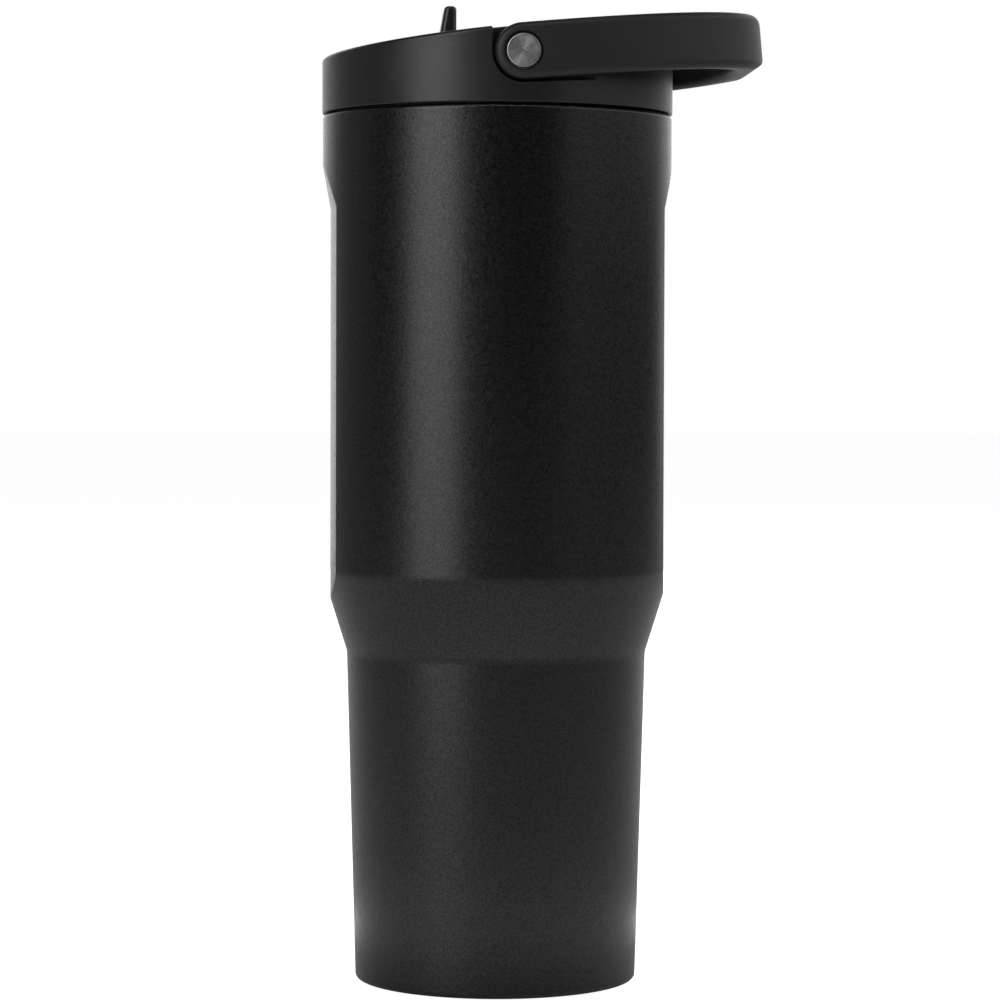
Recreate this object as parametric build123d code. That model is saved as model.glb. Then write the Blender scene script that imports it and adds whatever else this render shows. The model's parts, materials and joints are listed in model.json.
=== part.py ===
"""Insulated travel mug: vacuum-walled steel body, screw-in lid, flip spout with straw, folding handle.

Millimetres. The origin is the centre of the base, +Z runs up the mug's axis, and the handle is
folded towards +X. The flip spout is on the -X side, where the user drinks.
"""
from build123d import *
import math
import os

os.makedirs("parts", exist_ok=True)

# ---------------------------------------------------------------- driving dimensions
# Steel body, outside
BASE_R = 39.5            # radius of the cup-holder base at its foot
BASE_TOP_R = 42.1        # radius where the base meets the cone
BASE_TOP_Z = 92.8
BODY_R = 49.0            # radius of the upper body
SHOULDER_Z = 114.7       # where the cone would meet the upper body, unrounded
RIM_Z = 243.1            # top face of the drinking rim
FOOT_Z = 0.3             # underside of the steel foot, above the rubber pad
FOOT_RADIUS = 1.4
CONE_RADIUS = 7.0        # rounding between base and cone
SHOULDER_RADIUS = 9.0
LIP_RADIUS = 1.2
SHELL_WALL = 0.6
RIM_JOINT_R = 46.5       # radius at which the two walls are welded together
FOOT_OPENING_R = 34.0

# Side grip facets
FACET_DIST = 46.8        # from the mug's axis to the middle of a facet
FACET_RADIUS = 125.0     # plan radius of the facet's surface
FACET_BOTTOM_Z = 100.0
FACET_TOP_Z = 216.8
FACET_RUNOUT = 12.4      # height over which the facet's top end rises back to the body

# Inner flask
FLASK_WALL = 0.5
FLASK_FLOOR_Z = 9.0
FLASK_BASE_R = 35.6      # inside radius at the floor
FLASK_STEP_R = 38.4      # inside radius at the top of the tapered part
FLASK_R = 43.4           # inside radius of the upper part
FLASK_STEP_Z = 94.0
FLASK_TOP_Z = 226.0
NECK_R = 42.0            # inside radius of the threaded neck
NECK_Z = 229.0

# Thread between neck and lid, three starts
THREAD_STARTS = 3
THREAD_LEAD = 15.0
THREAD_ARC = 110.0       # degrees covered by each start
THREAD_HEIGHT = 1.1      # radial height of a ridge
THREAD_ROOT_WIDTH = 2.0
THREAD_CREST_WIDTH = 1.0
NECK_THREAD_Z = 232.5
THREAD_AXIAL_GAP = 2.3   # lid ridges lie this far below the neck ridges when tight

# Lid
LID_R = 49.2
LID_BOTTOM_Z = 243.5
LID_TOP_Z = 264.2        # height of the sloped top on the mug's axis
LID_SLOPE = 0.11         # rise of the top per unit of X
LID_WALL = 2.5
LID_EDGE = 1.1
DISH_R = 41.2
DISH_DEPTH = 0.9
PLUG_R = 40.5
PLUG_WALL = 2.0
PLUG_BOTTOM_Z = 221.0
FLANGE_BOTTOM_Z = 244.8
FLANGE_TOP_Z = 246.3
FLANGE_R = 46.65
FOAM_TOP_Z = 243.6
GASKET_INNER_R = 42.4
GASKET_OUTER_R = 46.4
GASKET_HEIGHT = 1.6

# Handle and its pivots
PIVOT_X = 4.2
PIVOT_Z = 257.15
HANDLE_TILT = 5.15       # the folded handle rises towards its bow, in degrees
HANDLE_END_X = 74.3      # outside of the bow
HANDLE_HALF_WIDTH = 50.0
HANDLE_EXPONENT = 2.3    # of the superellipse that the bow's outside follows in plan
INNER_EXPONENT = 2.5
ARM_THICK = 4.6
BOW_THICK = 8.4
HANDLE_HALF_HEIGHT = 7.65
HANDLE_EDGE = 2.0
BOW_CORNER = 5.5         # rounding of the bow's outer end, seen from the side
POCKET_Y = 42.9          # flat back wall of the handle pockets
POCKET_R = 8.2           # from the pivot to the pocket's end wall
POCKET_DROP = 8.4        # from the pivot to the ledge below the arm
POCKET_WALL = 1.5
POCKET_EDGE = 0.6
SHOULDER_BOLT_R = 3.5
BUSH_CLEARANCE = 0.05
BUSH_R = 4.7
CAP_R = 4.7
CAP_RECESS_R = 5.25
CAP_RECESS_Y = 47.0
HUB_INNER_Y = 44.0
INSERT_R = 2.9
BOLT_THREAD_R = 2.0

# Flip spout, cradle and straw
SPOUT_X = -28.0
SPOUT_Z = 252.5
BARREL_R = 6.0
BARREL_HALF_WIDTH = 8.0
SPOUT_LENGTH = 37.0      # from the pivot to the mouthpiece's tip
SPOUT_WIDTH = 12.0
SPOUT_HEIGHT = 9.5
SPOUT_BORE_R = 3.0
TAB_BACK_X = -11.8       # upright back face of the finger tab
TAB_TIP_THICK = 3.3
TAB_ROOT_THICK = 6.0
TAB_ROOT_Z = 258.0
TAB_WIDTH = 12.0
TAB_TOP_Z = 273.5
CRADLE_END_X = 12.5
CRADLE_FRONT_X = -36.4
CRADLE_HALF_WIDTH = 10.2
CRADLE_WALL = 1.6
CRADLE_CORNER = 3.0
CRADLE_LIP = 0.5         # the cradle's rim lies this far below the lid's dish
TRUNNION_R = 1.5
STRAW_R = 4.8
STRAW_INNER_R = 3.9
STRAW_TOP_Z = 232.0
STRAW_BOTTOM_Z = 16.0
SPIGOT_BOTTOM_Z = 219.0

SLOPE_ANGLE = math.degrees(math.atan(LID_SLOPE))
Y_SIDES = {"near": -1, "far": 1}
FAR = 90.0               # a size beyond everything, for cutting blocks


# ---------------------------------------------------------------- helpers
def save(shape, node):
    """Write one named sub-part and report its size."""
    shape.label = node
    export_step(shape, f"parts/{node}.step")
    print(f"{node:18s} solids {len(shape.solids())} volume {shape.volume:10.1f} mm3")


def turned(points, radii):
    """Solid of revolution about Z from (radius, z) points; radii rounds the inner corners."""
    line = FilletPolyline(*[(r, 0, z) for r, z in points], radius=radii) if radii else None
    if line is None:
        line = Polyline(*[(r, 0, z) for r, z in points])
    face = make_face(line + Line(line @ 1, line @ 0))
    return revolve(face, Axis.Z)


def ring(r_in, r_out, z_low, z_high):
    """Plain ring about Z."""
    solid = Pos(0, 0, z_low) * extrude(Circle(r_out) - Circle(r_in), z_high - z_low)
    return solid


def rod_y(radius, y_from, y_to, x, z):
    """Cylinder along Y between two values of y."""
    low, high = min(y_from, y_to), max(y_from, y_to)
    return Pos(x, low, z) * Rot(-90, 0, 0) * extrude(Circle(radius), high - low)


def rod_z(radius, z_low, z_high, x=0.0, y=0.0):
    """Cylinder along Z."""
    return Pos(x, y, z_low) * extrude(Circle(radius), z_high - z_low)


def below_slope(drop, block_r=FAR, z_low=200.0):
    """Block that ends at the lid's sloped top plane, lowered by drop along Z."""
    z_mid = LID_TOP_Z - drop
    outline = Polyline(
        (-block_r, 0, z_low),
        (block_r, 0, z_low),
        (block_r, 0, z_mid + LID_SLOPE * block_r),
        (-block_r, 0, z_mid - LID_SLOPE * block_r),
        close=True,
    )
    return Pos(0, block_r, 0) * extrude(make_face(outline), 2 * block_r, dir=(0, -1, 0))


def thread_ridges(root_r, crest_r, z_mid):
    """Helical ridges of a right-hand thread; the root is sunk slightly into its wall."""
    height = THREAD_LEAD * THREAD_ARC / 360
    helix = Helix(pitch=THREAD_LEAD, height=height, radius=root_r)
    start = helix @ 0
    plane = Plane(origin=start, x_dir=(1, 0, 0), z_dir=helix % 0)
    reach = crest_r - root_r
    sink = -0.2 if reach > 0 else 0.2
    section = plane * make_face(
        Polyline(
            (sink, -THREAD_ROOT_WIDTH / 2),
            (reach, -THREAD_CREST_WIDTH / 2),
            (reach, THREAD_CREST_WIDTH / 2),
            (sink, THREAD_ROOT_WIDTH / 2),
            close=True,
        )
    )
    ridge = Pos(0, 0, z_mid - height / 2) * sweep(section, path=helix, is_frenet=True)
    return [Rot(0, 0, 360 / THREAD_STARTS * k) * ridge for k in range(THREAD_STARTS)]


def superellipse(end_x, half_width, exponent, points_per_side=9):
    """Half superellipse in plan from (0, -half_width) round the bow to (0, half_width)."""
    points = []
    steps = 2 * points_per_side
    for k in range(steps + 1):
        angle = math.pi * (k / steps - 0.5)
        x = end_x * abs(math.cos(angle)) ** (2 / exponent)
        y = half_width * math.copysign(abs(math.sin(angle)) ** (2 / exponent), angle)
        points.append((x, y))
    return points


# ---------------------------------------------------------------- steel body
def facet_cutters(inward):
    """Tools that flatten the two grip sides, moved towards the axis by inward."""
    dist = FACET_DIST - inward
    body = BODY_R - inward + 0.4
    runout_slope = (BODY_R - FACET_DIST) / FACET_RUNOUT
    outline = Polyline(
        (dist, 0, FACET_BOTTOM_Z),
        (dist, 0, FACET_TOP_Z),
        (body, 0, FACET_TOP_Z + (body - dist) / runout_slope),
        (body + 8, 0, FACET_TOP_Z + (body - dist) / runout_slope),
        (body + 8, 0, FACET_BOTTOM_Z),
        close=True,
    )
    axis = Axis((dist - FACET_RADIUS, 0, 0), (0, 0, 1))
    half_turn = 30
    cutter = revolve(make_face(outline), axis, 2 * half_turn)
    cutter = Pos(axis.position) * Rot(0, 0, -half_turn) * Pos(-axis.position) * cutter
    return [cutter, mirror(cutter, Plane.YZ)]


def outer_shell():
    """Powder-coated outer wall with its turned-in foot and lip."""
    w = SHELL_WALL
    outside = turned(
        [(0, FOOT_Z), (BASE_R, FOOT_Z), (BASE_TOP_R, BASE_TOP_Z), (BODY_R, SHOULDER_Z),
         (BODY_R, RIM_Z), (0, RIM_Z)],
        [FOOT_RADIUS, CONE_RADIUS, SHOULDER_RADIUS, LIP_RADIUS],
    )
    inside = turned(
        [(0, FOOT_Z + w), (BASE_R - w, FOOT_Z + w), (BASE_TOP_R - w, BASE_TOP_Z + 0.3),
         (BODY_R - w, SHOULDER_Z + 0.3), (BODY_R - w, RIM_Z - w), (0, RIM_Z - w)],
        [FOOT_RADIUS - w, CONE_RADIUS + w, SHOULDER_RADIUS - w, LIP_RADIUS - w],
    )
    for cutter in facet_cutters(0.0):
        outside -= cutter
    for cutter in facet_cutters(w):
        inside -= cutter
    shell = outside - inside
    shell -= rod_z(FOOT_OPENING_R, 0, 5)
    shell -= rod_z(RIM_JOINT_R, RIM_Z - 3, RIM_Z + 3)
    return shell


def inner_flask():
    """Drinking flask with its rolled thread and the flange that meets the outer wall."""
    w = FLASK_WALL
    inner = [(0, FLASK_FLOOR_Z), (FLASK_BASE_R, FLASK_FLOOR_Z), (FLASK_STEP_R, FLASK_STEP_Z),
             (FLASK_R, FLASK_STEP_Z + 18), (FLASK_R, FLASK_TOP_Z), (NECK_R, NECK_Z),
             (NECK_R, RIM_Z + 1), (0, RIM_Z + 1)]
    outer = [(0, FLASK_FLOOR_Z - w), (FLASK_BASE_R + w, FLASK_FLOOR_Z - w),
             (FLASK_STEP_R + w, FLASK_STEP_Z - 0.3), (FLASK_R + w, FLASK_STEP_Z + 17.7),
             (FLASK_R + w, FLASK_TOP_Z + 0.3), (NECK_R + w, NECK_Z + 0.3),
             (NECK_R + w, RIM_Z), (0, RIM_Z)]
    hollow = turned(inner, [7, 9, 9, 2, 2, 0.01])
    flask = turned(outer, [7 + w, 9, 9, 2, 2, 0.01]) + ring(NECK_R, RIM_JOINT_R, RIM_Z - SHELL_WALL, RIM_Z)
    flask -= hollow
    for ridge in thread_ridges(NECK_R, NECK_R - THREAD_HEIGHT, NECK_THREAD_Z):
        flask += ridge
    return flask


def rim_weld():
    """Weld bead under the rim, where the two walls meet."""
    bead = Pos(RIM_JOINT_R, 0, RIM_Z - SHELL_WALL - 0.5) * Rot(90, 0, 0) * Rectangle(1.6, 1.0)
    return revolve(bead, Axis.Z)


def copper_shield():
    """Copper foil round the straight part of the flask, in the vacuum space."""
    inner = FLASK_R + FLASK_WALL
    return ring(inner, inner + 0.15, FLASK_STEP_Z + 26, FLASK_TOP_Z - 6)


def getter():
    """Getter pellet in its tray, under the flask's floor."""
    top = FLASK_FLOOR_Z - FLASK_WALL
    pellet = Pos(16, 0, 0) * (rod_z(5.5, top - 1.6, top))
    return fillet(pellet.faces().sort_by(Axis.Z)[0].edges(), 0.5)


def base_plate():
    """Pressed steel disc that closes the vacuum space, with the sealing dimple."""
    z = FOOT_Z + SHELL_WALL
    plate = rod_z(35.6, z, z + 0.8)
    dimple = rod_z(6.0, z + 0.8, z + 2.2) - rod_z(5.2, z, z + 1.4)
    plate = plate + dimple - rod_z(5.2, z - 0.1, z + 1.4)
    return plate - rod_z(0.8, z, z + 3)


def vacuum_seal():
    """Solder bead in the dimple of the base plate."""
    z = FOOT_Z + SHELL_WALL + 1.4
    bead = rod_z(3.0, z - 0.9, z) + rod_z(0.8, z, z + 0.8)
    return fillet(bead.faces().sort_by(Axis.Z)[0].edges(), 0.6)


def base_pad():
    """Silicone pad that the mug stands on."""
    pad = rod_z(FOOT_OPENING_R - 0.3, 0, FOOT_Z + SHELL_WALL)
    pad = fillet(pad.faces().sort_by(Axis.Z)[0].edges(), 0.4)
    return pad - ring(27.4, 28.6, -1, 0.35)


# ---------------------------------------------------------------- lid
def pocket_outline(grow):
    """Side view of a handle pocket: open at its top and towards +X."""
    left = PIVOT_X - POCKET_R - grow
    tilt = math.radians(HANDLE_TILT)
    below_pivot = PIVOT_Z - (POCKET_DROP + grow) / math.cos(tilt)
    ledge = [(x, 0, below_pivot + math.tan(tilt) * (x - PIVOT_X)) for x in (left, FAR)]
    line = FilletPolyline((left, 0, 300), *ledge, radius=POCKET_R + grow)
    return make_face(line + Polyline(line @ 1, (FAR, 0, 300), line @ 0))


def pocket(side, grow):
    """Block of the pocket on one side, with its walls when grow is above zero."""
    start = POCKET_Y - grow
    block = extrude(pocket_outline(grow), FAR - start, dir=(0, side, 0))
    return Pos(0, side * start, 0) * block


def cradle_outline(grow):
    """Plan of the spout's trough."""
    length = CRADLE_END_X - CRADLE_FRONT_X + 2 * grow
    width = 2 * (CRADLE_HALF_WIDTH + grow)
    centre = Pos((CRADLE_END_X + CRADLE_FRONT_X) / 2, 0, 0)
    return centre * RectangleRounded(length, width, CRADLE_CORNER + grow)


def is_pocket_edge(edge):
    """True for the edges that a handle pocket cuts into the lid's outer wall."""
    points = [edge @ along for along in (0.1, 0.5, 0.9)]
    on_wall = all(abs(math.hypot(point.X, point.Y) - LID_R) < 0.05 for point in points)
    beside_pocket = abs(points[1].Y) > POCKET_Y - 1
    clear_of_ends = LID_BOTTOM_Z + 3 < points[1].Z < LID_TOP_Z - 1
    return on_wall and beside_pocket and clear_of_ends


def lid_shell():
    """Outer cover of the lid: sloped top, handle pockets and the slot for the spout's cradle."""
    body = rod_z(LID_R, LID_BOTTOM_Z, 290) & below_slope(0)
    body = fillet(body.faces().sort_by(Axis.Z)[-1].edges(), LID_EDGE)
    body = fillet(body.faces().sort_by(Axis.Z)[0].edges(), 0.4)
    dish = rod_z(DISH_R, 230, 290) - below_slope(DISH_DEPTH)
    cavity = rod_z(LID_R - LID_WALL, LID_BOTTOM_Z - 1, 290) & below_slope(DISH_DEPTH + LID_WALL)
    for side in Y_SIDES.values():
        cavity -= pocket(side, POCKET_WALL)
    shell = body - dish - cavity
    for side in Y_SIDES.values():
        shell -= pocket(side, 0)
    shell = fillet(shell.edges().filter_by(is_pocket_edge), POCKET_EDGE)
    for side in Y_SIDES.values():
        boss = rod_y(5.5, side * (POCKET_Y - 0.5), side * (POCKET_Y - 9.5), PIVOT_X, PIVOT_Z)
        hole = rod_y(INSERT_R, side * (POCKET_Y + 0.1), side * (POCKET_Y - 8.5), PIVOT_X, PIVOT_Z)
        shell = shell + boss - hole
    shell -= Pos(0, 0, 230) * extrude(cradle_outline(0.1), 60)
    return shell


def lid_plug():
    """Threaded cup that closes the neck, with the flange that carries the cover."""
    plug = ring(PLUG_R - PLUG_WALL, PLUG_R, PLUG_BOTTOM_Z, FLANGE_TOP_Z)
    plug += ring(PLUG_R - PLUG_WALL, FLANGE_R, FLANGE_BOTTOM_Z, FLANGE_TOP_Z)
    floor = rod_z(PLUG_R, PLUG_BOTTOM_Z, PLUG_BOTTOM_Z + 2)
    plug += fillet(floor.faces().sort_by(Axis.Z)[0].edges(), 1.5)
    plug &= turned([(0, PLUG_BOTTOM_Z), (PLUG_R, PLUG_BOTTOM_Z), (PLUG_R, 240), (FAR, 240),
                    (FAR, 260), (0, 260)], [1.5, 0.01, 0.01, 0.01])
    z_mid = NECK_THREAD_Z - THREAD_AXIAL_GAP
    for ridge in thread_ridges(PLUG_R, PLUG_R + THREAD_HEIGHT, z_mid):
        plug += ridge
    plug -= rod_z(6.2, PLUG_BOTTOM_Z - 1, PLUG_BOTTOM_Z + 3, SPOUT_X)
    plug -= rod_z(1.5, PLUG_BOTTOM_Z - 1, PLUG_BOTTOM_Z + 3, 22)
    return plug


def lid_insulation():
    """Foam disc inside the lid."""
    foam = rod_z(PLUG_R - PLUG_WALL - 0.3, PLUG_BOTTOM_Z + 4.5, FOAM_TOP_Z)
    return foam - rod_z(STRAW_R + 0.2, 200, 260, SPOUT_X)


def lid_gasket():
    """Silicone ring squeezed between the rim and the lid's flange."""
    low = RIM_Z + 0.05
    gasket = ring(GASKET_INNER_R, GASKET_OUTER_R, low, low + GASKET_HEIGHT)
    edges = gasket.edges().filter_by(GeomType.CIRCLE).group_by(Axis.Z)[0]
    return fillet(edges, 0.4)


def vent_valve():
    """Silicone umbrella valve that lets air in as the mug empties."""
    z = PLUG_BOTTOM_Z
    head = rod_z(4.5, z - 1.2, z, 22)
    head = fillet(head.faces().sort_by(Axis.Z)[0].edges(), 0.9)
    return head + rod_z(1.5, z, z + 2, 22) + rod_z(2.3, z + 2, z + 3.6, 22)


def pivot_insert(side):
    """Brass insert moulded into the lid for a pivot bolt."""
    outer = rod_y(INSERT_R, side * (POCKET_Y - 0.4), side * (POCKET_Y - 8.4), PIVOT_X, PIVOT_Z)
    return outer - rod_y(BOLT_THREAD_R, side * POCKET_Y, side * (POCKET_Y - 9), PIVOT_X, PIVOT_Z)


def pivot_bolt(side):
    """Stainless shoulder bolt that the handle turns on."""
    thread = rod_y(BOLT_THREAD_R, side * (POCKET_Y - 7.5), side * POCKET_Y, PIVOT_X, PIVOT_Z)
    shoulder = rod_y(SHOULDER_BOLT_R, side * POCKET_Y, side * (CAP_RECESS_Y + 0.2), PIVOT_X, PIVOT_Z)
    head = rod_y(4.9, side * (CAP_RECESS_Y + 0.2), side * (CAP_RECESS_Y + 1.6), PIVOT_X, PIVOT_Z)
    return thread + shoulder + head


def pivot_cap(side):
    """Spun metal cap pressed on the bolt's head."""
    start = CAP_RECESS_Y + 1.6
    cap = rod_y(CAP_R, side * start, side * (start + 1.2), PIVOT_X, PIVOT_Z)
    outer_face = cap.faces().sort_by(Axis.Y)[-1 if side > 0 else 0]
    cap = fillet(outer_face.edges(), 0.5)
    dot = rod_y(0.6, side * (start + 0.9), side * (start + 2), PIVOT_X, PIVOT_Z)
    return cap - dot


def pivot_bush(side):
    """Nylon bush pressed into the handle's hub, with a thrust flange towards the lid."""
    flange = rod_y(6.4, side * (POCKET_Y + 0.25), side * HUB_INNER_Y, PIVOT_X, PIVOT_Z)
    sleeve = rod_y(BUSH_R, side * (POCKET_Y + 0.25), side * CAP_RECESS_Y, PIVOT_X, PIVOT_Z)
    bore = rod_y(SHOULDER_BOLT_R + BUSH_CLEARANCE, side * 40, side * 50, PIVOT_X, PIVOT_Z)
    return flange + sleeve - bore


# ---------------------------------------------------------------- handle
def plan_face(end_x, half_width, exponent):
    """Plan of a half superellipse, carried a little past the hubs towards -X."""
    points = superellipse(end_x, half_width, exponent)
    curve = Spline(*points, tangents=[(1, 0), (-1, 0)])
    back = PIVOT_X - 2 * HANDLE_HALF_HEIGHT
    tail = Polyline((0, half_width), (back, half_width), (back, -half_width), (0, -half_width))
    return make_face(curve + tail)


def is_rim(edge):
    """True for the handle's long edges, not for the seams between its tangent faces."""
    along = edge % 0.5
    seam = edge.geom_type == GeomType.LINE and max(abs(along.Y), abs(along.Z)) > 0.9
    return not seam


def bow_profile():
    """Side view of the handle, carried across its width, with the bow's end rounded."""
    low, high = PIVOT_Z - HANDLE_HALF_HEIGHT, PIVOT_Z + HANDLE_HALF_HEIGHT
    line = FilletPolyline(
        (-FAR, 0, low), (HANDLE_END_X, 0, low), (HANDLE_END_X, 0, high), (-FAR, 0, high),
        radius=BOW_CORNER,
    )
    outline = make_face(line + Line(line @ 1, line @ 0))
    return extrude(outline, FAR, dir=(0, 1, 0), both=True)


def handle():
    """Folding carry handle: two arms with hubs, joined by the bow."""
    height = 2 * HANDLE_HALF_HEIGHT
    outer = plan_face(HANDLE_END_X, HANDLE_HALF_WIDTH, HANDLE_EXPONENT)
    inner = plan_face(
        HANDLE_END_X - BOW_THICK, HANDLE_HALF_WIDTH - ARM_THICK, INNER_EXPONENT)
    band = extrude(outer - inner, height)
    band = Pos(0, 0, PIVOT_Z - HANDLE_HALF_HEIGHT) * band
    hub = rod_y(HANDLE_HALF_HEIGHT, -FAR, FAR, PIVOT_X, PIVOT_Z)
    front = Pos(PIVOT_X + FAR / 2, 0, PIVOT_Z) * Box(FAR, 2 * FAR, height)
    bail = band & (hub + front)
    bail = fillet(bail.edges().filter_by(is_rim), HANDLE_EDGE)
    bail &= bow_profile()
    for side in Y_SIDES.values():
        arm_inner = HANDLE_HALF_WIDTH - ARM_THICK
        bail += rod_y(7.0, side * HUB_INNER_Y, side * (arm_inner + 0.6), PIVOT_X, PIVOT_Z)
        bail -= rod_y(BUSH_R, side * 40, side * 55, PIVOT_X, PIVOT_Z)
        bail -= rod_y(CAP_RECESS_R, side * CAP_RECESS_Y, side * 55, PIVOT_X, PIVOT_Z)
    axis = Axis((PIVOT_X, 0, PIVOT_Z), (0, 1, 0))
    return bail.rotate(axis, -HANDLE_TILT)


# ---------------------------------------------------------------- spout and straw
def spout_cradle():
    """Moulded trough that carries the spout's trunnions and the straw's spigot."""
    low = FOAM_TOP_Z
    tub = Pos(0, 0, low) * extrude(cradle_outline(0), 40)
    tub &= below_slope(DISH_DEPTH + CRADLE_LIP)
    tub -= Pos(0, 0, low + 1.8) * extrude(cradle_outline(-CRADLE_WALL), 40)
    tub += rod_z(STRAW_INNER_R, SPIGOT_BOTTOM_Z, low + 1, SPOUT_X)
    tub -= rod_z(SPOUT_BORE_R, SPIGOT_BOTTOM_Z - 1, low + 5, SPOUT_X)
    return tub - rod_y(TRUNNION_R, -FAR, FAR, SPOUT_X, SPOUT_Z)


def spout_seat():
    """Silicone seat that the barrel turns against, open to the straw."""
    floor = FOAM_TOP_Z + 1.8
    seat = rod_z(5.6, floor, floor + 1.9, SPOUT_X)
    seat -= rod_y(BARREL_R + 0.3, -FAR, FAR, SPOUT_X, SPOUT_Z)
    return seat - rod_z(SPOUT_BORE_R, 200, 260, SPOUT_X)


def finger_tab():
    """Upright tab that a finger pushes, thicker where it joins the spout."""
    outline = Polyline(
        (TAB_BACK_X, 0, SPOUT_Z),
        (TAB_BACK_X, 0, TAB_TOP_Z),
        (TAB_BACK_X - TAB_TIP_THICK, 0, TAB_TOP_Z),
        (TAB_BACK_X - TAB_ROOT_THICK, 0, TAB_ROOT_Z),
        (TAB_BACK_X - TAB_ROOT_THICK, 0, SPOUT_Z),
        close=True,
    )
    tab = extrude(make_face(outline), TAB_WIDTH / 2, dir=(0, 1, 0), both=True)
    tab = fillet(tab.edges().filter_by(lambda edge: abs((edge % 0.5).Z) > 0.9), 1.5)
    return fillet(tab.faces().sort_by(Axis.Z)[-1].edges(), 1.1)


def spout():
    """Flip mouthpiece with its barrel and finger tab, stowed along the lid's slope."""
    reach = Pos(SPOUT_X, 0, SPOUT_Z) * Rot(0, 90, 0) * extrude(
        SlotOverall(SPOUT_WIDTH, SPOUT_HEIGHT, 90), SPOUT_LENGTH)
    reach = fillet(reach.faces().sort_by(Axis.X)[-1].edges(), 1.5)
    barrel = rod_y(BARREL_R, -BARREL_HALF_WIDTH, BARREL_HALF_WIDTH, SPOUT_X, SPOUT_Z)
    barrel = fillet(barrel.edges().filter_by(GeomType.CIRCLE), 0.6)
    body = (reach + barrel).rotate(Axis((SPOUT_X, 0, SPOUT_Z), (0, 1, 0)), -SLOPE_ANGLE)
    body += finger_tab()
    bore = Pos(SPOUT_X - 10, 0, SPOUT_Z) * Rot(0, 90, 0) * extrude(Circle(SPOUT_BORE_R), 60)
    body -= bore.rotate(Axis((SPOUT_X, 0, SPOUT_Z), (0, 1, 0)), -SLOPE_ANGLE)
    for side in Y_SIDES.values():
        body -= rod_y(TRUNNION_R + BUSH_CLEARANCE, side * 4.3, side * 20, SPOUT_X, SPOUT_Z)
    return body


def spout_pin(side):
    """Steel trunnion between the cradle's wall and the barrel."""
    return rod_y(TRUNNION_R, side * 4.6, side * CRADLE_HALF_WIDTH, SPOUT_X, SPOUT_Z)


def straw_seal():
    """Silicone grommet that seals the straw in the plug's floor."""
    z = PLUG_BOTTOM_Z
    grommet = rod_z(6.2, z, z + 2, SPOUT_X)
    grommet += rod_z(7.6, z - 1.2, z, SPOUT_X) + rod_z(7.6, z + 2, z + 3.2, SPOUT_X)
    return grommet - rod_z(STRAW_R, 200, 260, SPOUT_X)


def straw_tube():
    """Straw from the spigot to just above the flask's floor."""
    tube = rod_z(STRAW_R, STRAW_BOTTOM_Z, STRAW_TOP_Z, SPOUT_X)
    return tube - rod_z(STRAW_INNER_R, STRAW_BOTTOM_Z - 1, STRAW_TOP_Z + 1, SPOUT_X)


# ---------------------------------------------------------------- write every node
save(outer_shell(), "outer_shell")
save(inner_flask(), "inner_flask")
save(rim_weld(), "rim_weld")
save(copper_shield(), "copper_shield")
save(getter(), "getter")
save(base_plate(), "base_plate")
save(vacuum_seal(), "vacuum_seal")
save(base_pad(), "base_pad")
save(lid_gasket(), "lid_gasket")
save(lid_shell(), "lid_shell")
save(lid_plug(), "lid_plug")
save(lid_insulation(), "lid_insulation")
save(vent_valve(), "vent_valve")
save(spout_cradle(), "spout_cradle")
save(spout_seat(), "spout_seat")
save(straw_seal(), "straw_seal")
save(straw_tube(), "straw_tube")
save(spout(), "spout")
save(handle(), "handle")
for name, side in Y_SIDES.items():
    save(spout_pin(side), f"spout_pin_{name}")
    save(pivot_insert(side), f"pivot_insert_{name}")
    save(pivot_bolt(side), f"pivot_bolt_{name}")
    save(pivot_cap(side), f"pivot_cap_{name}")
    save(pivot_bush(side), f"pivot_bush_{name}")
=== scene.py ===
"""Looks of the insulated travel mug: procedural materials, studio light and camera.

Everything is in metres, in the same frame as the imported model: the origin is the centre of the
base, +Z runs up the mug, the folded handle points to +X and the flip spout is on the -X side.
"""
import json
import math

import bpy
from mathutils import Matrix, Vector

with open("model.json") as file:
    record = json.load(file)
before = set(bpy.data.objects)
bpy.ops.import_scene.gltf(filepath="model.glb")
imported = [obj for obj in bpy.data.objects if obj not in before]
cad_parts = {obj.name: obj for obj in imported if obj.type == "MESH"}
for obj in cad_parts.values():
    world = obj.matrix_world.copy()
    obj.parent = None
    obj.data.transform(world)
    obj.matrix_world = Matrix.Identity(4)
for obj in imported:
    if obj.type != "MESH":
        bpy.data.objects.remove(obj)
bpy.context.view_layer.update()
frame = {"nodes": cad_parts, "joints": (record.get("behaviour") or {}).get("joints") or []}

NODES = frame["nodes"]
JOINTS = {joint["name"]: joint for joint in frame["joints"]}

# ---------------------------------------------------------------- camera
CAMERA_LENS = 126.3          # millimetres, on a 36 mm sensor
CAMERA_DISTANCE = 0.990      # from the mug's axis
CAMERA_HEIGHT = 0.167
CAMERA_AZIMUTH = 3.3         # degrees that the camera stands to the left of -Y
CAMERA_PITCH = 1.836         # degrees below the horizon
CAMERA_AIM = 0.061           # degrees that it looks to the right of the mug's axis
CAMERA_ROLL = 0.17

# ---------------------------------------------------------------- light
LIGHT_AIM_HEIGHT = 0.15      # height on the mug's axis that the softboxes face
BACKDROP = 1.0               # brightness of the white sweep behind the object
ROOM = 0.012                 # brightness of the dark room that the object reflects
TABLE_WHITE = 0.97           # light from the table that reaches the camera
POOL_BRIGHT = 0.98           # light from the ring of table that the object's cone reflects
POOL_DIM = 0.04              # and further out
POOL_RISE = (0.08, 0.13)     # radii over which the ring brightens, away from the foot's shadow
POOL_FALL = (0.12, 0.165)    # radii over which it dims again
FLOOR_HALF = 12.0            # half the side of the table
FLOOR_DROP = 0.0003          # gap between the table and the foot pad

# ---------------------------------------------------------------- cap
CAP_PAINTED_SHADE = (0.0040, 0.0047)   # radii over which the spun cap's colour darkens towards its edge, a painted shade over its rounded rim


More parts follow.
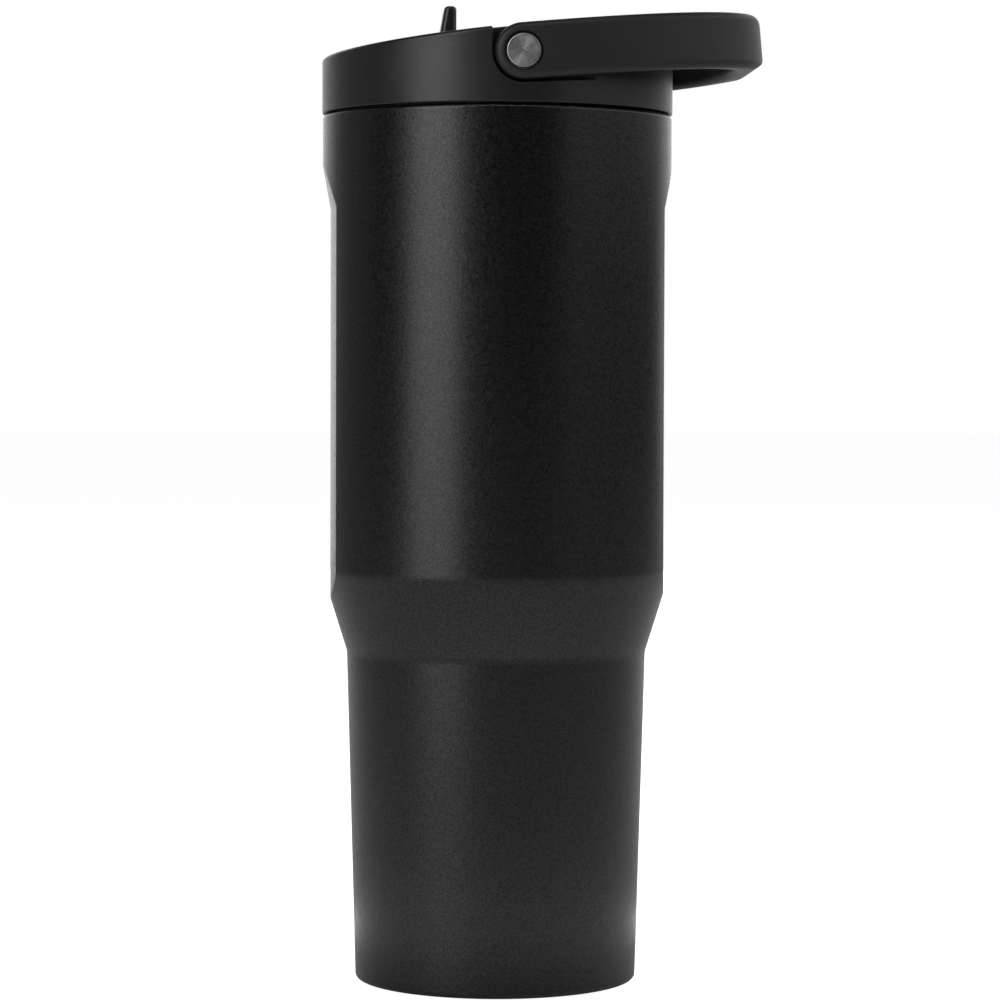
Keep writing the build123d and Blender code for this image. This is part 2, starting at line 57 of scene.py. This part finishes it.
def add_camera():
    """Camera at the height and angle of an ordinary product shot, square to the handle's side."""
    data = bpy.data.cameras.new("camera")
    data.lens = CAMERA_LENS
    data.sensor_width = 36.0
    data.clip_start = 0.01
    data.clip_end = 50.0
    camera = bpy.data.objects.new("camera", data)
    bpy.context.scene.collection.objects.link(camera)
    azimuth = math.radians(CAMERA_AZIMUTH)
    place = Vector((-math.sin(azimuth), -math.cos(azimuth), 0)) * CAMERA_DISTANCE
    place.z = CAMERA_HEIGHT
    heading = -math.radians(CAMERA_AZIMUTH + CAMERA_AIM)
    turn = Matrix.Rotation(heading, 4, "Z")
    tilt = Matrix.Rotation(math.radians(90 - CAMERA_PITCH), 4, "X")
    roll = Matrix.Rotation(math.radians(CAMERA_ROLL), 4, "Z")
    camera.matrix_world = Matrix.Translation(place) @ turn @ tilt @ roll
    bpy.context.scene.camera = camera


def softbox(name, azimuth, distance, height, width, tall, radiance):
    """Rectangular light that faces the mug; azimuth runs from the camera towards +X, in degrees."""
    data = bpy.data.lights.new(name, "AREA")
    data.shape = "RECTANGLE"
    data.size = width
    data.size_y = tall
    data.energy = radiance * math.pi * width * tall
    lamp = bpy.data.objects.new(name, data)
    bpy.context.scene.collection.objects.link(lamp)
    angle = math.radians(azimuth - CAMERA_AZIMUTH)
    lamp.location = (math.sin(angle) * distance, -math.cos(angle) * distance, height)
    aim = Vector((0, 0, LIGHT_AIM_HEIGHT)) - lamp.location
    lamp.rotation_euler = aim.to_track_quat("-Z", "Y").to_euler()
    lamp.visible_camera = False


def add_lights():
    """Key from the front left, fill from the right, a top light, and rim lights from behind."""
    softbox("key_high", -41, 1.3, 0.82, width=0.74, tall=0.80, radiance=4.2)
    softbox("key_low", -41, 1.3, 0.20, width=0.74, tall=0.46, radiance=2.0)
    softbox("fill", 90, 1.5, 0.98, width=3.4, tall=1.2, radiance=0.98)
    softbox("top", 10, 0.55, 1.35, width=1.0, tall=0.5, radiance=1.6)
    softbox("left_fill", -112, 1.6, 0.70, width=1.5, tall=1.2, radiance=0.22)
    softbox("back", 180, 2.0, 0.75, width=1.9, tall=1.9, radiance=1.6)
    for name, azimuth in (("rim_left", -146), ("rim_right", 146)):
        softbox(name, azimuth, 1.5, 0.60, width=0.60, tall=1.1, radiance=0.9)


def add_world():
    """Pale backdrop for the camera, and a dim room for everything that the object reflects."""
    world = bpy.data.worlds.new("studio")
    bpy.context.scene.world = world
    world.use_nodes = True
    tree = world.node_tree
    tree.nodes.clear()
    out = tree.nodes.new("ShaderNodeOutputWorld")
    mix = tree.nodes.new("ShaderNodeMixShader")
    path = tree.nodes.new("ShaderNodeLightPath")
    tree.links.new(path.outputs["Is Camera Ray"], mix.inputs["Fac"])
    for socket, strength in ((mix.inputs[1], ROOM), (mix.inputs[2], BACKDROP)):
        background = tree.nodes.new("ShaderNodeBackground")
        background.inputs["Color"].default_value = (1, 1, 1, 1)
        background.inputs["Strength"].default_value = strength
        tree.links.new(background.outputs[0], socket)
    tree.links.new(mix.outputs[0], out.inputs["Surface"])


# ---------------------------------------------------------------- node helpers
class Recipe:
    """A material under construction: its tree, its shader, and short ways to add nodes."""

    def __init__(self, name):
        self.material = bpy.data.materials.new(name)
        self.material.use_nodes = True
        self.tree = self.material.node_tree
        self.shader = self.tree.nodes["Principled BSDF"]
        self.place = self.add("ShaderNodeTexCoord").outputs["Object"]

    def add(self, kind, **values):
        node = self.tree.nodes.new(kind)
        for key, value in values.items():
            setattr(node, key, value)
        return node

    def link(self, source, target):
        self.tree.links.new(source, target)

    def set(self, **values):
        """Constants straight on the shader's sockets; underscores stand for spaces."""
        for key, value in values.items():
            self.shader.inputs[key.replace("_", " ")].default_value = value

    def noise(self, scale, detail=2.0, roughness=0.5, vector=None, distortion=0.0):
        """Noise with features of about 1 / scale metres."""
        node = self.add("ShaderNodeTexNoise")
        node.inputs["Scale"].default_value = scale
        node.inputs["Detail"].default_value = detail
        node.inputs["Roughness"].default_value = roughness
        node.inputs["Distortion"].default_value = distortion
        self.link(vector or self.place, node.inputs["Vector"])
        return node.outputs["Fac"]

    def feed(self, node, values):
        """Gives a node's inputs their values in order, each a number or another node's output."""
        for socket, value in zip(node.inputs, values):
            if isinstance(value, (int, float)):
                socket.default_value = value
            else:
                self.link(value, socket)
        return node.outputs[0]

    def math(self, operation, *values):
        return self.feed(self.add("ShaderNodeMath", operation=operation), values)

    def spread(self, source, low, high, from_low=0.3, from_high=0.7):
        """Remaps a value to run from low to high, clamped at both ends."""
        node = self.add("ShaderNodeMapRange")
        node.inputs["From Min"].default_value = from_low
        node.inputs["From Max"].default_value = from_high
        node.inputs["To Min"].default_value = low
        node.inputs["To Max"].default_value = high
        self.link(source, node.inputs["Value"])
        return node.outputs["Result"]

    def shades(self, source, dark, light, low=0.3, high=0.7):
        """Colour between two shades, driven by a value."""
        ramp = self.add("ShaderNodeValToRGB")
        first, last = ramp.color_ramp.elements
        first.position, last.position = low, high
        first.color = (*dark, 1)
        last.color = (*light, 1)
        self.link(source, ramp.inputs["Fac"])
        self.link(ramp.outputs["Color"], self.shader.inputs["Base Color"])

    def rough(self, source, low, high):
        """Roughness that drifts between two values with a noise."""
        self.link(self.spread(source, low, high), self.shader.inputs["Roughness"])

    def glint(self, source, low, high):
        """Strength of the reflection, speckled by a noise."""
        level = self.spread(source, low, high, 0.2, 0.8)
        self.link(level, self.shader.inputs["Specular IOR Level"])

    def bump(self, *layers):
        """Stacked bumps; each layer is a height source and its depth in metres."""
        normal = None
        for source, depth in layers:
            node = self.add("ShaderNodeBump")
            node.inputs["Strength"].default_value = 1.0
            node.inputs["Distance"].default_value = depth
            self.link(source, node.inputs["Height"])
            if normal is not None:
                self.link(normal, node.inputs["Normal"])
            normal = node.outputs["Normal"]
        self.link(normal, self.shader.inputs["Normal"])

    def axes(self):
        """Separate x, y and z of the place."""
        node = self.add("ShaderNodeSeparateXYZ")
        self.link(self.place, node.inputs[0])
        return node.outputs[0], node.outputs[1], node.outputs[2]

    def vector(self, *values):
        return self.feed(self.add("ShaderNodeCombineXYZ"), values)

    def radius(self, first, second, first_at=0.0, second_at=0.0):
        """Distance from an axis that passes through (first_at, second_at)."""
        a = self.math("SUBTRACT", first, first_at)
        b = self.math("SUBTRACT", second, second_at)
        squares = self.math("ADD", self.math("MULTIPLY", a, a), self.math("MULTIPLY", b, b))
        return self.math("SQRT", squares)


def grey(value):
    """Colour with the same amount of red, green and blue."""
    return (value, value, value)


# ---------------------------------------------------------------- materials
def powder_coat():
    """Black powder coat: fine orange peel with a granular matt skin."""
    r = Recipe("powder_coat")
    r.set(Metallic=0.0, IOR=1.5)
    grain = r.noise(1900, 2.0, 0.6)
    peel = r.noise(950, 2.0, 0.55)
    r.shades(grain, grey(0.0008), grey(0.0018))
    r.rough(peel, 0.27, 0.36)
    r.glint(grain, 0.26, 0.76)
    r.bump((peel, 0.00003), (grain, 0.00002))
    return r.material


def moulded_black(name, shade, low, high, texture_scale, depth):
    """Black moulded plastic with the fine spark-eroded texture of its tool."""
    r = Recipe(name)
    r.set(Metallic=0.0, IOR=1.49)
    texture = r.noise(texture_scale, 2.0, 0.6)
    flow = r.noise(60, 3.0, 0.5)
    r.shades(flow, grey(shade * 0.85), grey(shade * 1.15))
    r.rough(flow, low, high)
    r.glint(texture, 0.36, 0.64)
    r.bump((texture, depth))
    return r.material


def soft_touch():
    """Rubbery soft-touch coating of the handle: matt, with a faint dusting of fine grain."""
    r = Recipe("handle_soft_touch")
    r.set(Metallic=0.0, IOR=1.45)
    grain = r.noise(3200, 2.0, 0.6)
    drift = r.noise(70, 3.0, 0.5)
    r.shades(drift, grey(0.011), grey(0.014))
    r.rough(grain, 0.46, 0.56)
    r.bump((grain, 0.000010), (drift, 0.00003))
    return r.material


def turned_steel(name, shade, low, high, axis_x=0.0, axis_z=None):
    """Steel with turning marks round Z, or round an axis along Y when axis_z is given."""
    r = Recipe(name)
    r.set(Metallic=1.0)
    x, y, z = r.axes()
    if axis_z is None:
        reach, along = r.radius(x, y), z
    else:
        reach, along = r.radius(x, z, axis_x, axis_z), y
    marks = r.noise(5200, 2.0, 0.7, r.vector(reach, along, 0.0))
    cloud = r.noise(90, 2.0, 0.5)
    r.shades(marks, [0.86 * s for s in shade], shade)
    r.rough(cloud, low, high)
    r.bump((marks, 0.000006))
    return r.material


def spun_cap(axis_x, axis_z):
    """Lathe-spun metal: its highlight fans out, as the fine turning marks run round the pivot."""
    r = Recipe("spun_metal")
    r.set(Metallic=1.0, Anisotropic=0.85)
    x, _, z = r.axes()
    reach = r.radius(x, z, axis_x, axis_z)
    marks = r.noise(2600, 2.0, 0.6, r.vector(reach, 0.0, 0.0))
    smear = r.noise(240, 3.0, 0.6)
    # painted shade: the colour darkens over the cap's rounded rim, which dims the lamps' reflection
    # there
    rim = r.spread(reach, 1.0, 0.0, *CAP_PAINTED_SHADE)
    r.shades(r.math("MULTIPLY", smear, rim), grey(0.10), grey(0.80), 0.0, 0.6)
    r.rough(marks, 0.26, 0.36)
    across = r.vector(r.math("SUBTRACT", axis_z, z), 0.0, r.math("SUBTRACT", x, axis_x))
    turned = r.add("ShaderNodeVectorTransform", vector_type="VECTOR",
                   convert_from="OBJECT", convert_to="WORLD")
    r.link(across, turned.inputs[0])
    r.link(turned.outputs[0], r.shader.inputs["Tangent"])
    r.bump((marks, 0.000004))
    return r.material


def foil():
    """Copper foil, wrinkled where it was wrapped round the flask."""
    r = Recipe("copper_foil")
    r.set(Metallic=1.0)
    wrinkles = r.noise(160, 4.0, 0.6, distortion=1.2)
    r.shades(wrinkles, (0.80, 0.36, 0.20), (0.95, 0.52, 0.32))
    r.rough(wrinkles, 0.18, 0.34)
    r.bump((wrinkles, 0.0002))
    return r.material


def granular(name, dark, light, scale, low, high, depth):
    """Sintered or cast material with visible grains."""
    r = Recipe(name)
    grains = r.add("ShaderNodeTexVoronoi")
    grains.inputs["Scale"].default_value = scale
    r.link(r.place, grains.inputs["Vector"])
    tone = r.noise(scale * 0.4, 3.0, 0.6)
    r.shades(tone, dark, light)
    r.rough(tone, low, high)
    r.bump((grains.outputs["Distance"], depth))
    return r.material


def solder():
    """Frozen solder bead, faintly rippled."""
    r = Recipe("solder")
    r.set(Metallic=1.0)
    ripple = r.noise(700, 3.0, 0.5, distortion=0.6)
    r.shades(ripple, grey(0.52), grey(0.66))
    r.rough(ripple, 0.25, 0.45)
    r.bump((ripple, 0.00004))
    return r.material


def silicone(name, dark, light, low, high):
    """Moulded silicone with a soft bloom on its surface."""
    r = Recipe(name)
    r.set(Metallic=0.0, IOR=1.41)
    bloom = r.noise(180, 4.0, 0.6)
    skin = r.noise(2400, 2.0, 0.5)
    r.shades(bloom, dark, light)
    r.rough(bloom, low, high)
    r.bump((skin, 0.000012))
    return r.material


def clear_plastic():
    """Smoky translucent straw."""
    r = Recipe("straw_plastic")
    r.set(Metallic=0.0, IOR=1.49, Transmission_Weight=0.55)
    flow = r.noise(120, 3.0, 0.5)
    r.shades(flow, grey(0.16), grey(0.22))
    r.rough(flow, 0.16, 0.24)
    r.bump((flow, 0.00003))
    return r.material


def moulded_nylon():
    """Natural nylon of the bushes."""
    r = Recipe("nylon")
    r.set(Metallic=0.0, IOR=1.53, Subsurface_Weight=0.1)
    tone = r.noise(400, 3.0, 0.5)
    r.shades(tone, grey(0.030), grey(0.042))
    r.rough(tone, 0.38, 0.5)
    r.bump((tone, 0.00002))
    return r.material


def make_materials():
    """One material for each slot of the record."""
    pivot_x, _, pivot_z = JOINTS["handle_swing"]["pos_m"]
    return {
        "powder_coat": powder_coat(),
        "polished_steel": turned_steel("polished_steel", grey(0.62), 0.20, 0.28),
        "copper_foil": foil(),
        "getter_ceramic": granular("getter_ceramic", grey(0.10), grey(0.17), 2400,
                                   0.7, 0.85, 0.0001),
        "solder": solder(),
        "foot_silicone": silicone("foot_silicone", grey(0.020), grey(0.030), 0.55, 0.68),
        "gasket_silicone": silicone("gasket_silicone", grey(0.030), grey(0.045), 0.45, 0.58),
        "lid_plastic": moulded_black("lid_plastic", 0.0075, 0.36, 0.42, 2900, 0.000009),
        "plug_plastic": moulded_black("plug_plastic", 0.013, 0.30, 0.38, 2400, 0.000006),
        "foam": granular("foam", grey(0.62), grey(0.78), 1500, 0.75, 0.9, 0.0003),
        "straw_plastic": clear_plastic(),
        "spout_plastic": moulded_black("spout_plastic", 0.010, 0.30, 0.38, 2600, 0.000006),
        "handle_soft_touch": soft_touch(),
        "pin_steel": turned_steel("pin_steel", grey(0.56), 0.24, 0.34, pivot_x, pivot_z),
        "brass_insert": turned_steel("brass_insert", (0.72, 0.50, 0.22), 0.26, 0.36,
                                     pivot_x, pivot_z),
        "spun_metal": spun_cap(pivot_x, pivot_z),
        "nylon": moulded_nylon(),
    }


def dress_nodes(materials):
    """Gives every CAD node the finish that its slot names."""
    for node in NODES.values():
        for slot in node.material_slots:
            slot.material = materials[slot.material.name.split(".")[0]]


# ---------------------------------------------------------------- stage
def add_floor():
    """White table: the camera sees it evenly lit, and the object reflects a bright ring of it."""
    mesh = bpy.data.meshes.new("floor")
    corners = [(x * FLOOR_HALF, y * FLOOR_HALF, 0) for x, y in ((-1, -1), (1, -1), (1, 1), (-1, 1))]
    mesh.from_pydata(corners, [], [(0, 1, 2, 3)])
    floor = bpy.data.objects.new("floor", mesh)
    bpy.context.scene.collection.objects.link(floor)
    r = Recipe("floor")
    tone = r.noise(3, 2.0, 0.5)
    r.shades(tone, grey(0.78), grey(0.80))
    r.set(Roughness=0.85, Emission_Color=(1, 1, 1, 1))
    x, y, _ = r.axes()
    reach = r.radius(x, y)
    rise = r.spread(reach, 0.0, POOL_BRIGHT, *POOL_RISE)
    fall = r.spread(reach, POOL_BRIGHT, POOL_DIM, *POOL_FALL)
    pool = r.math("MINIMUM", rise, fall)
    seen = r.add("ShaderNodeLightPath").outputs["Is Camera Ray"]
    glow = r.math("MULTIPLY_ADD", seen, r.math("SUBTRACT", TABLE_WHITE, pool), pool)
    r.link(glow, r.shader.inputs["Emission Strength"])
    floor.data.materials.append(r.material)
    floor.location.z = -FLOOR_DROP


bpy.context.scene.view_settings.view_transform = "Standard"
bpy.context.scene.view_settings.look = "None"
add_camera()
add_world()
add_lights()
add_floor()
dress_nodes(make_materials())
